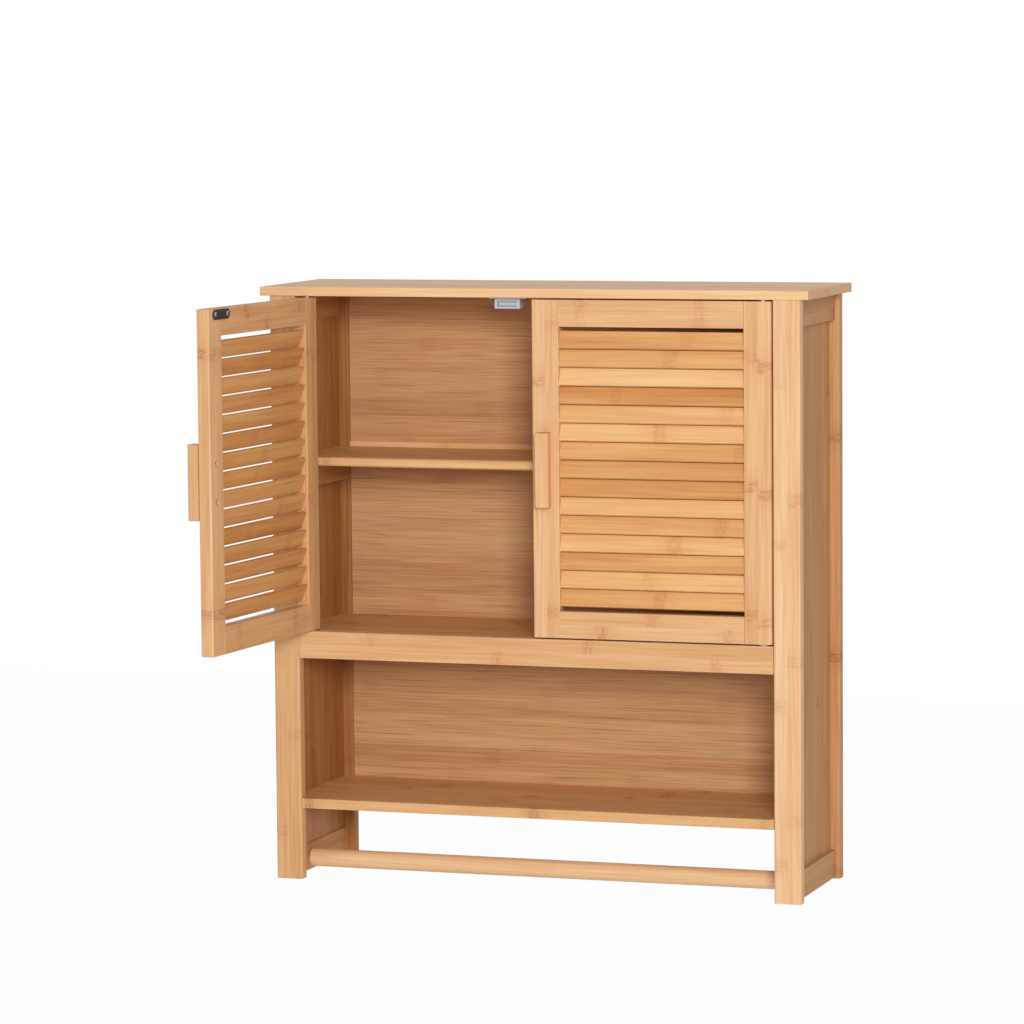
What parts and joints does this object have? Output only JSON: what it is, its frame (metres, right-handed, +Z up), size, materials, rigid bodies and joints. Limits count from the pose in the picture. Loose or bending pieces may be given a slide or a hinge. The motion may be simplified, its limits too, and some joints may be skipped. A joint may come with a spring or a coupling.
{
  "type": "bathroom wall cabinet",
  "caption": "Hanging wall cabinet in bamboo with louvred doors over a shelf, an open compartment below and a towel bar under it.",
  "frame": {"origin": "midpoint between the round holes of the two wall hangers, on the wall plane", "axes": "+Z up, +Y towards the wall, doors face -Y"},
  "size_m": [0.62, 0.4288, 0.655],
  "materials": {
    "bamboo": "satin lacquer",
    "bamboo_side": "satin lacquer",
    "bamboo_inside": "satin lacquer",
    "dowel_wood": "plain",
    "steel": "zinc plated",
    "dark_steel": "black",
    "magnet": "nickel plated",
    "pale_plastic": "satin"
  },
  "bodies": {
    "cabinet": {"top_board": "bamboo", "front_post_left": "bamboo", "front_post_right": "bamboo", "rear_post_left": "bamboo_side", "rear_post_right": "bamboo_side", "top_rail_left": "bamboo_side", "top_rail_right": "bamboo_side", "bottom_rail_left": "bamboo_side", "bottom_rail_right": "bamboo_side", "side_panel_left": "bamboo_side", "side_panel_right": "bamboo_side", "shelf_cleat_left": "bamboo_inside", "shelf_cleat_right": "bamboo_inside", "floor_cleat_left": "bamboo_inside", "floor_cleat_right": "bamboo_inside", "mid_shelf": "bamboo", "floor_board": "bamboo_inside", "floor_front_rail": "bamboo", "floor_rear_rail": "bamboo_inside", "low_shelf": "bamboo", "back_cross_rail": "bamboo", "back_panel_upper": "bamboo_inside", "back_panel_middle": "bamboo_inside", "back_panel_lower": "bamboo_inside", "towel_bar": "bamboo", "frame_dowels": "dowel_wood", "hanger_plate_left": "steel", "hanger_plate_right": "steel", "hanger_screws": "steel", "catch_housing_left": "pale_plastic", "catch_housing_right": "pale_plastic", "catch_magnets": "magnet", "catch_pole_plates": "steel", "catch_screws": "dark_steel", "pivot_bushings": "pale_plastic"},
    "left_door": {"left_door_hinge_stile": "bamboo", "left_door_free_stile": "bamboo", "left_door_top_rail": "bamboo", "left_door_bottom_rail": "bamboo", "left_door_slats": "bamboo_side", "left_door_dowels": "dowel_wood", "left_door_handle": "bamboo", "left_handle_screws": "dark_steel", "left_strike_plate": "dark_steel", "left_strike_screws": "steel", "left_pivot_pins": "steel"},
    "right_door": {"right_door_hinge_stile": "bamboo", "right_door_free_stile": "bamboo", "right_door_top_rail": "bamboo", "right_door_bottom_rail": "bamboo", "right_door_slats": "bamboo_side", "right_door_dowels": "dowel_wood", "right_door_handle": "bamboo", "right_handle_screws": "dark_steel", "right_strike_plate": "dark_steel", "right_strike_screws": "steel", "right_pivot_pins": "steel"}
  },
  "joints": [
    {"name": "left_door_hinge", "type": "hinge", "parent": "cabinet", "child": "left_door", "pos_m": [-0.2583, -0.17275, -0.13085], "axis": [0, 0, 1], "range_deg": [-16, 94]},
    {"name": "right_door_hinge", "type": "hinge", "parent": "cabinet", "child": "right_door", "pos_m": [0.2583, -0.17275, -0.13085], "axis": [0, 0, 1], "range_deg": [0, 110]}
  ]
}
